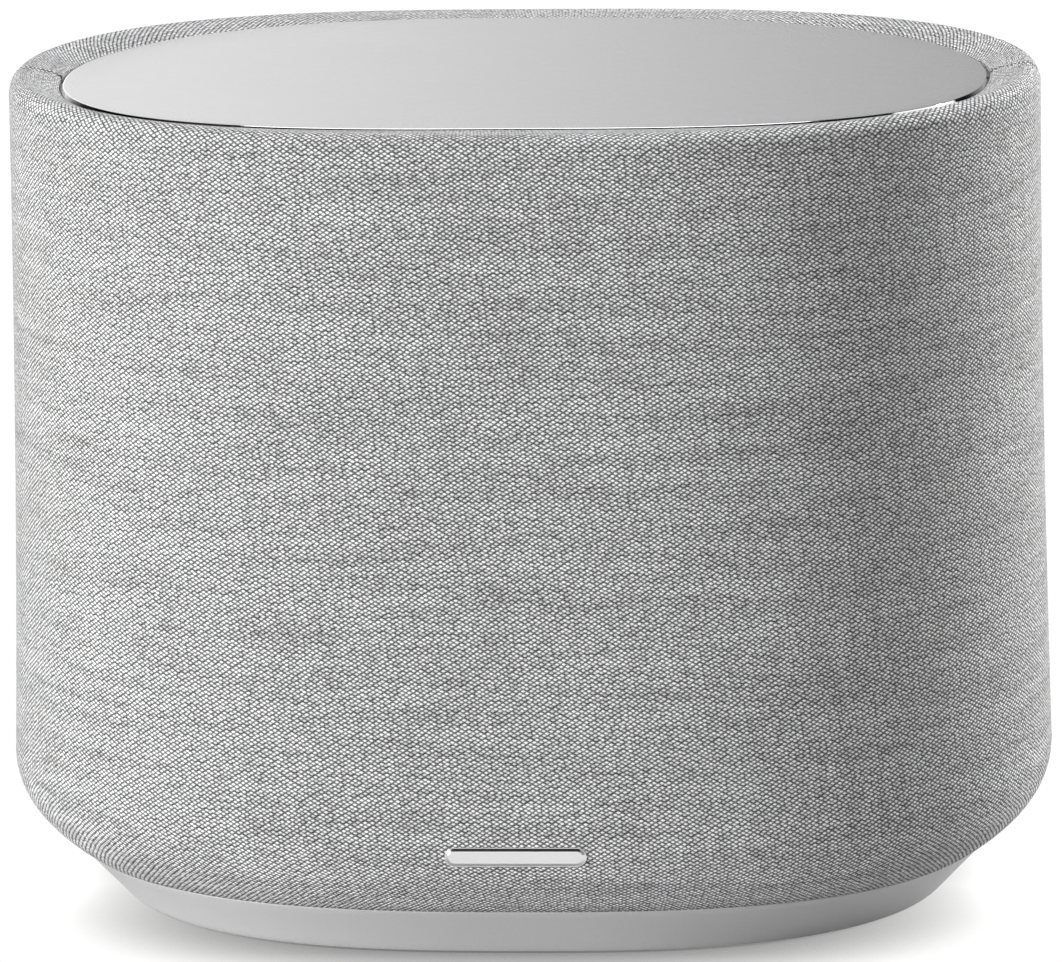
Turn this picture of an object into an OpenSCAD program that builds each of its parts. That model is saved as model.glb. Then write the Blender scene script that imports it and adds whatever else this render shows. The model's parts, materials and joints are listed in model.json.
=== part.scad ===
// Large oval home speaker with a woven sleeve and a woofer that fires at the floor.
// Origin: centre of the footprint, on the floor. +Z up, the front faces -Y. Millimetres.
// The body is a stack of oval sections: every section is the curve
// |x/a|^px + |y/b|^py = 1, and the shells are lofted through such sections.

/* [Body] */
// Half of the width at the widest section
half_w = 222; // [200:1:240]
// Depth of the body as a share of its width
depth_ratio = 0.705; // [0.66:0.005:0.76]
// Height of the widest section above the floor
widest_z = 58.5; // [56:0.5:64]
// Half of the width where the wall meets the rounded rim
wall_top_half = 216; // [212:1:219]
// Height at which the wall meets the rounded rim
wall_top_z = 343.5; // [338:0.5:346]
// Squareness of the oval across its width
px = 2.8; // [2.4:0.05:3.2]
// Squareness of the oval across its depth
py = 2.13; // [2:0.01:2.4]

/* [Rim and top plate] */
// Height of the rim's crest at the front and back
crest_z = 348.9; // [347:0.1:351]
// How much higher the crest stands at the two ends
crest_lift = 1.7; // [0:0.1:3]
// Distance from the wall to the crest
crest_inset = 6.5; // [5:0.5:12]
// Half of the plate's width
plate_half_w = 194.8; // [190:0.1:197]
// Half of the plate's depth
plate_half_d = 130.4; // [128:0.1:132]
// Height of the plate at its centre
plate_z = 348.2; // [346:0.1:350]
// Fall of the crowned plate from its centre line to its ends
plate_crown = 2.5; // [0:0.1:3]
// Thickness of the plate
plate_t = 2.6; // [2:0.1:3]

/* [Sleeve and shells] */
// Thickness of the woven sleeve
fabric_t = 1.2; // [1:0.1:1.5]
// Wall of the moulded cabinet
cabinet_t = 5; // [4:0.5:7]
// Wall of the open skirt under the cabinet
skirt_t = 4; // [3:0.5:5]
// Height of the sleeve's bottom hem
hem_z = 22.5; // [21:0.5:24]
// Half of the width at the hem
hem_half = 197.4; // [192:0.2:200]
// Half of the plinth's width at the floor
foot_half = 176.8; // [172:0.2:180]

/* [Woofer] */
// Outer radius of the woofer's flange
flange_r = 131; // [128:0.5:132]
// Radius of the cone at the surround
cone_r = 98; // [92:1:100]
// Radius of the voice coil former
former_r = 31.5; // [28:0.5:33]

/* [Rear panel] */
// Bottom of the window for the rear panel
window_lo = 104; // [102:1:108]
// Top of the window for the rear panel
window_hi = 150; // [146:1:154]
// Travel of the connect button
button_travel = 1; // [0.8:0.1:1.2]

/* [Hidden] */
$fn = 64;
SEG = 72;            // steps around an oval; 5 degrees each
GAP = 0.2;           // air between neighbouring shells
half_d = half_w * depth_ratio;
rim_d = wall_top_half * depth_ratio;
cove_knee_z = 38.8;  // control height of the cove's curve
foot_z = 1.2;        // underside of the plinth's flange
base_z = 6;          // underside of the base plate
flange_half = 148;   // inner edge of the plinth's flange
bolt_head_z = 4;     // seat of the bolt heads in the flange
base_t = 4;
baffle_z = 85;
baffle_t = 12;
lid_z = 328;
lid_t = 10;
lid_top_z = lid_z + lid_t;
lid_head_z = lid_top_z - 2.8;
gasket_t = 1;
window_step = 2;     // the window is this many 5 degree steps to each side of the back
badge_z = 51.3;
badge_w = 58;
badge_h = 8.2;
stud_x = 18;
tray_front = 152;    // rear face of the terminal tray's lip
tray_floor = 129;    // depth at which the tray's floor starts
tray_back = 126;
tray_z = (window_lo + window_hi) / 2;
tray_w = 121;
tray_h = window_hi - window_lo - 3;
chassis_y = 123;
inlet_x = -32;
port_x = 8;
button_x = 38;
stem_y = 123.2;      // inner end of the connect button's stem
switch_y = stem_y - button_travel - 0.15;
led_x = 24;
magnet_z = 146;

// ---- oval sections -------------------------------------------------------------------

function spow(v, e) = sign(v) * pow(abs(v), e);
function plan_x(i) = spow(cos(i * 360 / SEG), 2 / px);
function plan_y(i) = spow(sin(i * 360 / SEG), 2 / py);

// A flat oval outline for exact prisms
function oval(a, b) = [for (i = [0:SEG - 1]) [a * plan_x(i), b * plan_y(i)]];

// A section is [half width, half depth, height, lift at the two ends]
function section(a, b, z, lift = 0) = [a, b, z, lift];
function scaled(a, z) = section(a, a * depth_ratio, z);
function ring_points(s) = [
    for (i = [0:SEG - 1])
        [s[0] * plan_x(i), s[1] * plan_y(i), s[2] + s[3] * pow(plan_x(i), 2)]
];

// The body's outer side, from the hem up to the rim's inner edge
function bezier(p, q, r, t) = pow(1 - t, 2) * p + 2 * t * (1 - t) * q + t * t * r;
function wall_half(z) =
    let (t = (wall_top_z - z) / (wall_top_z - widest_z))
    wall_top_half + (half_w - wall_top_half) * (t / 3 + 2 * t * t / 3);
cove = [
    for (k = [0:5])
        let (t = 1 - k / 6)
        scaled(bezier(half_w, half_w, hem_half, t), bezier(widest_z, cove_knee_z, hem_z, t))
];
wall = [
    for (z = [widest_z, window_lo, window_hi, 230, wall_top_z])
        scaled(wall_half(z), z)
];
rim_rise = [
    for (k = [1:3])
        let (u = k * 30, inset = crest_inset * (1 - cos(u)))
        section(wall_top_half - inset, rim_d - inset,
                wall_top_z + (crest_z - wall_top_z) * sin(u), crest_lift * sin(u))
];
tuck_half_w = plate_half_w + 0.6;
tuck_half_d = plate_half_d + 0.6;
tuck_z = plate_z - 1.3;
tuck_lift = -3.3;
tuck_bottom_z = lid_top_z + 2.5;
rim_fall = [
    section(plate_half_w + 8.5, plate_half_d + 8.5, crest_z - 0.35, -0.3),
    section(plate_half_w + 2.6, plate_half_d + 2.6, crest_z - 0.95, -2.5),
    section(tuck_half_w, tuck_half_d, tuck_z, tuck_lift)
];
tuck = [section(tuck_half_w + 0.2, tuck_half_d + 0.2, tuck_bottom_z)];
outer_side = concat(cove, wall, rim_rise, rim_fall, tuck);

// The same side moved inwards by d, square to its own profile
function unit(v) = v / norm(v);
function inward(path, d) = [
    for (i = [0:len(path) - 1])
        let (
            before = path[max(i - 1, 0)],
            after = path[min(i + 1, len(path) - 1)],
            t = unit([after[0] - before[0], after[2] - before[2]])
        )
        section(path[i][0] - d * t[1], path[i][1] - d * t[1], path[i][2] + d * t[0], path[i][3])
];

// Quads between neighbouring rings, numbered ring by ring
function quad(a, b, i) =
    let (j = (i + 1) % SEG)
    [a * SEG + i, a * SEG + j, b * SEG + j, b * SEG + i];

// A solid swept round the oval: profile is a closed loop of sections
module oval_loop(profile) {
    m = len(profile);
    polyhedron(
        points = [for (s = profile) each ring_points(s)],
        faces = [for (k = [0:m - 1]) for (i = [0:SEG - 1]) quad((k + 1) % m, k, i)]
    );
}

// A solid stack of sections, closed at both ends
module oval_stack(sections) {
    m = len(sections);
    polyhedron(
        points = [for (s = sections) each ring_points(s)],
        faces = concat(
            [[for (i = [0:SEG - 1]) i]],
            [for (k = [0:m - 2]) for (i = [0:SEG - 1]) quad(k + 1, k, i)],
            [[for (i = [SEG - 1:-1:0]) (m - 1) * SEG + i]]
        )
    );
}

// A shell between two sides of equal length, with the cells left out that open(i, k) names
module oval_lattice(outer, inner, open) {
    m = len(outer);
    function full(i, k) = k >= 0 && k < m - 1 && !open((i + SEG) % SEG, k);
    function out(k, i) = k * SEG + (i + SEG) % SEG;
    function inn(k, i) = (m + k) * SEG + (i + SEG) % SEG;
    polyhedron(
        points = [for (s = concat(outer, inner)) each ring_points(s)],
        faces = [
            for (k = [0:m - 2])
                for (i = [0:SEG - 1])
                    if (full(i, k))
                        each concat(
                            [[out(k, i), out(k + 1, i), out(k + 1, i + 1), out(k, i + 1)]],
                            [[inn(k, i), inn(k, i + 1), inn(k + 1, i + 1), inn(k + 1, i)]],
                            full(i, k - 1) ? [] : [[out(k, i), out(k, i + 1), inn(k, i + 1), inn(k, i)]],
                            full(i, k + 1) ? [] :
                                [[out(k + 1, i + 1), out(k + 1, i), inn(k + 1, i), inn(k + 1, i + 1)]],
                            full(i - 1, k) ? [] :
                                [[out(k + 1, i), out(k, i), inn(k, i), inn(k + 1, i)]],
                            full(i + 1, k) ? [] :
                                [[out(k, i + 1), out(k + 1, i + 1), inn(k + 1, i + 1), inn(k, i + 1)]]
                        )
        ]
    );
}

back = SEG / 4;
function at_back(i) = i >= back - window_step && i < back + window_step;

// ---- small helpers -------------------------------------------------------------------

module tube(r_out, r_in, h) {
    difference() {
        cylinder(r = r_out, h = h);
        translate([0, 0, -1]) cylinder(r = r_in, h = h + 2);
    }
}

module at(points) {
    for (p = points) translate(p) children();
}

// A round part that points along +Y
module along_y() {
    rotate([-90, 0, 0]) children();
}

// A pan-head screw with its head on z = 0 and its shank going up
module screw(shank_r, shank_l, head_r, head_h) {
    difference() {
        translate([0, 0, -head_h]) cylinder(r = head_r, h = head_h);
        translate([0, 0, -head_h - 0.1]) cylinder(r = head_r * 0.45, h = head_h * 0.6, $fn = 6);
    }
    cylinder(r = shank_r, h = shank_l);
}

module oval_ring(a, b, width, h) {
    linear_extrude(h)
        difference() {
            polygon(oval(a, b));
            polygon(oval(a - width, b - width));
        }
}

// Places that repeat
function on_circle(r, n, start) = [
    for (i = [0:n - 1])
        let (angle = start + i * 360 / n)
        [r * cos(angle), r * sin(angle)]
];
function four(x, y) = [for (sx = [-1, 1]) for (sy = [-1, 1]) [sx * x, sy * y]];
post_places = concat(four(109.5, 87), [[-156.5, 0], [156.5, 0]]);
column_places = concat(four(150, 75), [[-185, 0], [185, 0]]);
flange_screw_places = on_circle(124, 8, 22.5);

// ---- sleeve and rim ------------------------------------------------------------------

module fabric_sleeve() {
    color("gainsboro")
        oval_lattice(outer_side, inward(outer_side, fabric_t),
                     function(i, k) at_back(i) && k == len(cove) + 1);
}

former_outer = inward(
    concat([scaled(wall_half(lid_top_z), lid_top_z + 0.2)], [wall[len(wall) - 1]], rim_rise, rim_fall, tuck),
    fabric_t + GAP
);
module rim_former() {
    last = former_outer[len(former_outer) - 1];
    color("dimgray")
        oval_loop(concat(former_outer, [section(last[0], last[1], lid_top_z + 0.2)]));
}

module sleeve_retainer() {
    color("black")
        translate([0, 0, lid_top_z + 0.6])
            oval_ring(tuck_half_w - 0.1, tuck_half_d - 0.1, 2.6, 3);
}

module hem_ring() {
    a = hem_half - 1.6;
    color("dimgray")
        translate([0, 0, hem_z - GAP + 0.05])
            oval_ring(a, a * depth_ratio, 6, 1.2);
}

// ---- top plate -----------------------------------------------------------------------

function crowned(inset, drop) =
    section(plate_half_w - inset, plate_half_d - inset, plate_z - drop, -plate_crown);
function crown_ring(share, drop) =
    section(plate_half_w * share, plate_half_d * share, plate_z - drop, -plate_crown * share * share);

module top_plate() {
    color("lightgray")
        oval_stack([
            for (share = [0.03, 0.35, 0.65, 0.9]) crown_ring(share, plate_t),
            crowned(0.6, plate_t),
            crowned(0, plate_t - 0.5),
            crowned(0, 1.3),
            crowned(1.2, 0.1),
            for (share = [0.9, 0.65, 0.35, 0.03]) crown_ring(share, 0)
        ]);
}

module plate_bond_pad() {
    color("white")
        oval_stack([
            for (share = [0.03, 0.35, 0.65, 0.9]) crown_ring(share, plate_t + 0.6),
            for (share = [0.9, 0.65, 0.35, 0.03]) crown_ring(share, plate_t + 0.05)
        ]);
}

module plate_carrier() {
    color("darkslategray")
        oval_stack([
            section(plate_half_w * 0.9, plate_half_d * 0.9, lid_top_z + 0.05),
            for (share = [0.9, 0.65, 0.35, 0.03]) crown_ring(share, plate_t + 0.65)
        ]);
}

// ---- badge ---------------------------------------------------------------------------

badge_front = half_d + 0.5;
module badge() {
    x = (badge_w - badge_h) / 2;
    color("silver")
        union() {
            translate([0, 1.6 - badge_front, badge_z])
                rotate([90, 0, 0])
                    hull()
                        for (s = [-1, 1])
                            translate([s * x, 0, 0]) {
                                cylinder(r = badge_h / 2, h = 1.0, $fn = 32);
                                cylinder(r = badge_h / 2 - 0.6, h = 1.6, $fn = 32);
                            }
            for (s = [-1, 1])
                translate([s * stud_x, 1 - badge_front, badge_z]) along_y() cylinder(r = 1, h = 10);
        }
}

module badge_clips() {
    color("dimgray")
        for (s = [-1, 1])
            translate([s * stud_x, 7.5 - half_d, badge_z]) along_y() tube(3, 1.05, 1.2);
}

// ---- plinth and base -----------------------------------------------------------------

function plinth_half(z) = foot_half + (hem_half - foot_half) * z / hem_z;
foot_outer = foot_half - 5;
foot_ring_w = 8.5;
groove_inner = section(foot_outer - foot_ring_w - 0.1, foot_outer * depth_ratio - foot_ring_w - 0.1, 0);
foot_ring_h = 2.9;
module plinth() {
    color("silver")
        difference() {
            oval_loop([
                scaled(plinth_half(foot_z + 1), foot_z + 1),
                scaled(plinth_half(hem_z - GAP) - 0.3, hem_z - GAP),
                scaled(plinth_half(hem_z) - 8, hem_z - GAP),
                scaled(plinth_half(hem_z) - 9, hem_z - 4),
                scaled(plinth_half(base_z + 3), base_z + 5),
                scaled(plinth_half(base_z) - 4, base_z),
                scaled(flange_half, base_z),
                scaled(flange_half, foot_z),
                groove_inner + [0, 0, foot_z, 0],
                groove_inner + [0, 0, foot_ring_h + 0.1, 0],
                scaled(foot_outer + 0.1, foot_ring_h + 0.1),
                scaled(foot_outer + 0.1, foot_z),
                scaled(foot_half - 0.4, foot_z)
            ]);
            at(post_places) {
                cylinder(r = 2.6, h = 20);
                cylinder(r = 4.8, h = bolt_head_z);
            }
        }
}

module foot_ring() {
    color("black")
        oval_ring(foot_outer, foot_outer * depth_ratio, foot_ring_w, foot_ring_h);
}

module base_plate() {
    a = 172;
    color("dimgray")
        translate([0, 0, base_z + 0.05])
            linear_extrude(base_t)
                difference() {
                    polygon(oval(a, a * depth_ratio));
                    at(post_places) circle(r = 2.6);
                }
}

module sound_reflector() {
    color("dimgray")
        translate([0, 0, base_z + base_t + 0.1])
            rotate_extrude()
                polygon([[0, 0], [70, 0], [70, 2], [48, 4], [28, 9], [12, 17], [0, 19]]);
}

module base_bolts() {
    color("darkgray")
        at(post_places)
            translate([0, 0, bolt_head_z]) screw(2.5, baffle_z + 8 - bolt_head_z, 4.6, 2.5);
}

// ---- woofer chamber ------------------------------------------------------------------

skirt_outer = inward(
    concat([cove[0] + [0, 0, GAP, 0]], [for (k = [1:len(cove) - 1]) cove[k]],
           [for (z = [widest_z, 72, baffle_z - GAP]) scaled(wall_half(z), z)]),
    fabric_t + GAP
);
front = SEG * 3 / 4;
module skirt_grille() {
    color("dimgray")
        oval_lattice(skirt_outer, inward(skirt_outer, skirt_t),
                     function(i, k) k >= 1 && k <= 6 && i % 3 != 0 && abs(i + 0.5 - front) > 2);
}

module chamber_posts() {
    color("gray")
        at(post_places)
            translate([0, 0, base_z + base_t + 0.1])
                tube(8, 2.6, baffle_z - base_z - base_t - 0.15);
}

module woofer_baffle() {
    a = wall_half(baffle_z) - fabric_t - cabinet_t - 1;
    b = a - (half_w - half_d);
    color("burlywood")
        translate([0, 0, baffle_z])
            linear_extrude(baffle_t)
                difference() {
                    polygon(oval(a, b));
                    circle(r = 117, $fn = 96);
                    at(flange_screw_places) circle(r = 2.2);
                    at(post_places) circle(r = 2.6);
                    at(column_places) circle(r = 2.2);
                }
}

module baffle_screws() {
    color("darkgray")
        at(column_places) translate([0, 0, baffle_z]) screw(2.1, baffle_t + 14, 4, 2.6);
}

// ---- cabinet -------------------------------------------------------------------------

cabinet_outer = inward(
    [for (z = [baffle_z, window_lo, window_hi, 230, lid_z]) scaled(wall_half(z), z)],
    fabric_t + GAP
);
module cabinet_shell() {
    color("dimgray")
        oval_lattice(cabinet_outer, inward(cabinet_outer, cabinet_t),
                     function(i, k) at_back(i) && k == 1);
}

module cabinet_lid() {
    a = wall_half(lid_z) - fabric_t - 1;
    color("gray")
        difference() {
            translate([0, 0, lid_z + gasket_t])
                linear_extrude(lid_t - gasket_t) polygon(oval(a, a * depth_ratio - 0.6));
            at(column_places) {
                translate([0, 0, lid_z]) cylinder(r = 2.2, h = 20);
                translate([0, 0, lid_head_z]) cylinder(r = 4.3, h = 20);
            }
        }
}

module lid_gasket() {
    a = wall_half(lid_z) - fabric_t - 1.4;
    color("black")
        translate([0, 0, lid_z + 0.05])
            oval_ring(a, a * depth_ratio - 1, 4.5, gasket_t - 0.1);
}

module lid_screws() {
    color("darkgray")
        at(column_places)
            translate([0, 0, lid_head_z])
                mirror([0, 0, 1]) screw(2.1, 22, 4, 2.6);
}

module tie_columns() {
    z0 = baffle_z + baffle_t + 0.05;
    h = lid_z + gasket_t - 0.05 - z0;
    color("gray")
        at(column_places)
            translate([0, 0, z0])
                difference() {
                    cylinder(r = 8, h = h);
                    translate([0, 0, -1]) cylinder(r = 2.2, h = 18);
                    translate([0, 0, h - 17]) cylinder(r = 2.2, h = 18);
                }
}

module acoustic_wadding() {
    color("whitesmoke")
        for (s = [-1, 1])
            translate([s * 117, 0, 200])
                linear_extrude(110)
                    polygon([[-22, -95], [22, -95], [22, 60], [-22, 60]]);
}

// ---- woofer --------------------------------------------------------------------------

flange_z = baffle_z - 5;
module woofer_gasket() {
    color("black")
        translate([0, 0, baffle_z - 1.2])
            difference() {
                tube(flange_r, 117.5, 1.1);
                at(flange_screw_places) translate([0, 0, -1]) cylinder(r = 2.6, h = 4);
            }
}

module woofer_basket() {
    top_z = magnet_z - 8;
    color("darkslategray")
        difference() {
            union() {
                translate([0, 0, flange_z]) tube(flange_r, 108, 3.7);
                translate([0, 0, flange_z]) tube(115.5, 112, 16);
                for (i = [0:5])
                    rotate([0, 0, i * 60])
                        rotate([90, 0, 0])
                            translate([0, 0, -7])
                                linear_extrude(14)
                                    polygon([[114, flange_z + 14], [114, flange_z + 18],
                                             [80, top_z + 3], [70, top_z + 3], [70, top_z],
                                             [78, top_z - 1], [111.5, flange_z + 14]]);
                translate([0, 0, top_z - 1]) tube(80, 52, 4);
                translate([0, 0, top_z - 16]) tube(80, 74.5, 16);
            }
            at(flange_screw_places) translate([0, 0, flange_z - 1]) cylinder(r = 2.6, h = 6);
        }
}

module woofer_screws() {
    color("darkgray")
        at(flange_screw_places) translate([0, 0, flange_z]) screw(2.1, 15, 4, 2.4);
}

module front_pole_plate() {
    color("silver")
        translate([0, 0, magnet_z - 5 + 0.1]) tube(74, former_r + 1.9, 7.8);
}

module ring_magnet() {
    color("dimgray")
        translate([0, 0, magnet_z + 3]) tube(78, 44, 20);
}

module back_plate() {
    color("silver")
        difference() {
            union() {
                translate([0, 0, magnet_z + 23.1]) cylinder(r = 74, h = 8);
                translate([0, 0, magnet_z - 5]) cylinder(r = former_r - 1.1, h = 30);
            }
            translate([0, 0, magnet_z - 10]) cylinder(r = 9, h = 60);
        }
}

module woofer_cone() {
    color("black")
        rotate_extrude($fn = 96)
            polygon([[cone_r, 80], [cone_r, 81.4], [former_r + 1.4, 112.4], [former_r + 0.5, 112.4],
                     [former_r + 0.5, 110.6]]);
}

module dust_cap() {
    r = former_r + 2.5;
    color("black")
        rotate_extrude($fn = 96)
            polygon(concat(
                [for (k = [0:8]) let (x = r * k / 8) [x, 96 + 12 * pow(x / r, 2)]],
                [for (k = [8:-1:0]) let (x = r * k / 8) [x, 97 + 11.6 * pow(x / r, 2)]]
            ));
}

module cone_surround() {
    inner = cone_r + 0.1;
    mid = (inner + 107.7) / 2;
    roll = (107.7 - inner) / 2;
    color("black")
        translate([0, 0, 80])
            rotate_extrude($fn = 96)
                intersection() {
                    difference() {
                        translate([mid, 0]) circle(r = roll);
                        translate([mid, 0]) circle(r = roll - 1);
                    }
                    translate([inner, -roll - 1]) square([2 * roll, roll + 1]);
                }
}

module coil_former() {
    color("goldenrod")
        translate([0, 0, 110.4]) tube(former_r + 0.35, former_r, 46);
}

module voice_coil() {
    color("peru")
        translate([0, 0, magnet_z - 9]) tube(former_r + 1.1, former_r + 0.36, 18);
}

module spider() {
    color("tan")
        translate([0, 0, 124])
            rotate_extrude($fn = 96)
                polygon(concat(
                    [for (k = [0:24]) [former_r + 0.5 + k * 1.7, 1.2 * sin(k * 90)]],
                    [for (k = [24:-1:0]) [former_r + 0.5 + k * 1.7, 0.6 + 1.2 * sin(k * 90)]]
                ));
}

module woofer_terminals() {
    color("silver")
        for (s = [-1, 1])
            translate([s * 5, 81.5, 128]) cube([3, 1.6, 12], center = true);
}

// ---- rear panel ----------------------------------------------------------------------

module tray_block(w, h, y0, y1) {
    translate([-w / 2, y0, tray_z - h / 2]) cube([w, y1 - y0, h]);
}

module terminal_tray() {
    color("black")
        difference() {
            tray_block(tray_w, tray_h, tray_back, tray_front);
            tray_block(tray_w - 5, tray_h - 5, tray_floor, tray_front + 1);
            translate([inlet_x - 12, tray_back - 1, tray_z - 7]) cube([24, 10, 14]);
            translate([port_x - 5, tray_back - 1, tray_z - 2.1]) cube([10, 10, 4.2]);
            translate([button_x, tray_back - 1, tray_z]) along_y() cylinder(r = 4.05, h = 10);
            translate([led_x, tray_back - 1, tray_z]) along_y() cylinder(r = 1.3, h = 10);
            at_tray_screws() along_y() cylinder(r = 1.7, h = 30);
        }
}

module at_tray_screws() {
    for (sx = [-1, 1])
        for (sz = [-1, 1])
            translate([sx * (tray_w / 2 - 7), tray_back - 12, tray_z + sz * (tray_h / 2 - 7)])
                children();
}

module tray_gasket() {
    color("black")
        difference() {
            tray_block(tray_w, tray_h, chassis_y + 0.1, tray_back - 0.1);
            tray_block(tray_w - 8, tray_h - 8, chassis_y - 1, tray_back + 1);
        }
}

module tray_screws() {
    color("darkgray")
        at_tray_screws()
            translate([0, tray_floor - tray_back + 12, 0])
                rotate([90, 0, 0]) screw(1.6, 8, 3.1, 1.8);
}

// Two-pin mains inlet: a figure-of-eight well with two round pins
module mains_inlet() {
    color("black")
        translate([inlet_x, 0, tray_z])
            difference() {
                union() {
                    translate([-11.9, 112, -6.9]) cube([23.8, 18.5, 13.8]);
                    translate([-13.5, tray_floor + 0.05, -8.5]) cube([27, 2, 17]);
                }
                for (s = [-1, 1])
                    translate([s * 4.3, 118, 0]) along_y() cylinder(r = 4, h = 20);
                translate([-4.3, 118, -3.85]) cube([8.6, 20, 7.7]);
                for (s = [-1, 1])
                    translate([s * 4.3, 111, 0]) along_y() cylinder(r = 1.25, h = 10);
            }
}

module inlet_pins() {
    color("silver")
        for (s = [-1, 1])
            translate([inlet_x + s * 4.3, 108, tray_z]) along_y() cylinder(r = 1.2, h = 20);
}

module service_port() {
    color("silver")
        translate([port_x, 0, tray_z])
            difference() {
                translate([-4.9, 120, -2]) cube([9.8, tray_floor - 120, 4]);
                translate([-4.2, 121, -1.3]) cube([8.4, 20, 2.6]);
            }
}

module connect_button() {
    color("dimgray")
        translate([button_x, 0, tray_z])
            along_y()
                rotate_extrude()
                    polygon([[0, stem_y], [3, stem_y], [3, tray_back - 1], [4, tray_back - 1],
                             [4, tray_floor + 0.9], [3.5, tray_floor + 1.4], [0, tray_floor + 1.4]]);
}

module button_switch() {
    color("gray")
        translate([button_x - 3, switch_y - 5, tray_z - 3]) cube([6, 5, 6]);
}

module status_light() {
    color("white")
        translate([led_x, 119, tray_z]) along_y() cylinder(r = 1.25, h = tray_floor + 0.3 - 119);
}

// ---- electronics ---------------------------------------------------------------------

module electronics_chassis() {
    color("silver")
        difference() {
            translate([-90, chassis_y - 3, window_lo + 1.5]) cube([180, 3, 198]);
            translate([inlet_x - 12.2, 100, tray_z - 7.2]) cube([24.4, 40, 14.4]);
            translate([port_x - 5.2, 100, tray_z - 2.4]) cube([10.4, 40, 4.8]);
            translate([button_x, 100, tray_z]) along_y() cylinder(r = 4.4, h = 40);
            translate([led_x, 100, tray_z]) along_y() cylinder(r = 1.6, h = 40);
            at_tray_screws() along_y() cylinder(r = 1.7, h = 30);
            for (p = standoff_places)
                translate([p[0], 100, p[1]]) along_y() cylinder(r = 1.6, h = 40);
        }
}

standoff_places = [
    for (x = [-80, -10, 10, 80]) for (z = [170, 290]) [x, z]
];
board_y = 108;
module board_standoffs() {
    color("goldenrod")
        for (p = standoff_places)
            translate([p[0], board_y + 1.7, p[1]])
                along_y() tube(2.8, 1.5, chassis_y - 3 - board_y - 1.8);
}

module board(x0, x1) {
    difference() {
        translate([x0, board_y, 163]) cube([x1 - x0, 1.6, 134]);
        for (p = standoff_places)
            translate([p[0], board_y - 1, p[1]]) along_y() cylinder(r = 1.6, h = 4);
    }
}

module amplifier_board() {
    color("darkgreen") board(3, 87);
}

module power_board() {
    color("green") board(-87, -3);
}

// Coils and chips on the front of the amplifier board
module amplifier_parts() {
    color("dimgray") {
        for (x = [24, 50])
            translate([x, board_y - 16.1, 200]) along_y() tube(11, 5, 16);
        translate([20, board_y - 4.1, 230]) cube([44, 4, 30]);
        for (x = [20:12:68])
            translate([x, board_y - 12.1, 275]) along_y() cylinder(r = 4, h = 12);
    }
}

module transformer() {
    color("gold")
        translate([-76, board_y - 30.1, 180]) {
            cube([46, 30, 16]);
            translate([6, 3, 16]) cube([34, 24, 18]);
            translate([0, 0, 34]) cube([46, 30, 10]);
        }
}

module power_capacitors() {
    color("navy")
        for (x = [-70, -46, -22])
            translate([x, board_y - 34.1, 250]) along_y() cylinder(r = 10, h = 34);
}

module heat_sink() {
    color("darkgray")
        translate([5, chassis_y + 0.1, 168]) {
            cube([78, 4, 120]);
            for (i = [0:12])
                translate([i * 6.3, 3.9, 0]) cube([2.4, 9, 120]);
        }
}

module wireless_board() {
    color("darkgreen")
        translate([-60, chassis_y + 0.1, 230]) cube([44, 1.6, 30]);
}

module antennas() {
    color("tan")
        for (s = [-1, 1])
            translate([s * 110 - 20, 100, 290]) cube([40, 0.8, 10]);
}

// ---- lead from the amplifier to the woofer -------------------------------------------

lead_route = [[5, 84, 133.5], [5, 88, 139], [14, 92, 146], [30, 96, 153], [40, 100, 160], [40, 104, 168]];
lead_r = 1.6;
module swept_tube(route, r, sides = 8) {
    m = len(route);
    points = [
        for (k = [0:m - 1])
            let (
                t = unit(route[min(k + 1, m - 1)] - route[max(k - 1, 0)]),
                u = unit(cross(t, [1, 0, 0.01])),
                v = cross(t, u)
            )
            for (i = [0:sides - 1])
                route[k] + r * cos(i * 360 / sides) * u + r * sin(i * 360 / sides) * v
    ];
    polyhedron(
        points = points,
        faces = concat(
            [[for (i = [sides - 1:-1:0]) i]],
            [
                for (k = [0:m - 2])
                    for (i = [0:sides - 1])
                        let (j = (i + 1) % sides)
                        [k * sides + i, k * sides + j, (k + 1) * sides + j, (k + 1) * sides + i]
            ],
            [[for (i = [0:sides - 1]) (m - 1) * sides + i]]
        )
    );
}

module speaker_lead() {
    color("firebrick")
        for (s = [-1, 1])
            translate([s * 5 - 5, 0, 0]) swept_tube(lead_route, lead_r);
}

// ---- nodes ---------------------------------------------------------------------------

fabric_sleeve();
rim_former();
sleeve_retainer();
hem_ring();
top_plate();
plate_bond_pad();
plate_carrier();
badge();
badge_clips();
plinth();
foot_ring();
base_plate();
sound_reflector();
base_bolts();
skirt_grille();
chamber_posts();
cabinet_shell();
cabinet_lid();
lid_gasket();
lid_screws();
tie_columns();
woofer_baffle();
baffle_screws();
acoustic_wadding();
woofer_gasket();
woofer_basket();
woofer_screws();
front_pole_plate();
ring_magnet();
back_plate();
woofer_cone();
dust_cap();
cone_surround();
coil_former();
voice_coil();
spider();
woofer_terminals();
terminal_tray();
tray_gasket();
tray_screws();
mains_inlet();
inlet_pins();
service_port();
connect_button();
button_switch();
status_light();
electronics_chassis();
board_standoffs();
amplifier_board();
amplifier_parts();
heat_sink();
power_board();
transformer();
power_capacitors();
wireless_board();
antennas();
speaker_lead();
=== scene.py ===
import json
import math

import bpy
import numpy as np
from mathutils import Matrix, Vector


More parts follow.
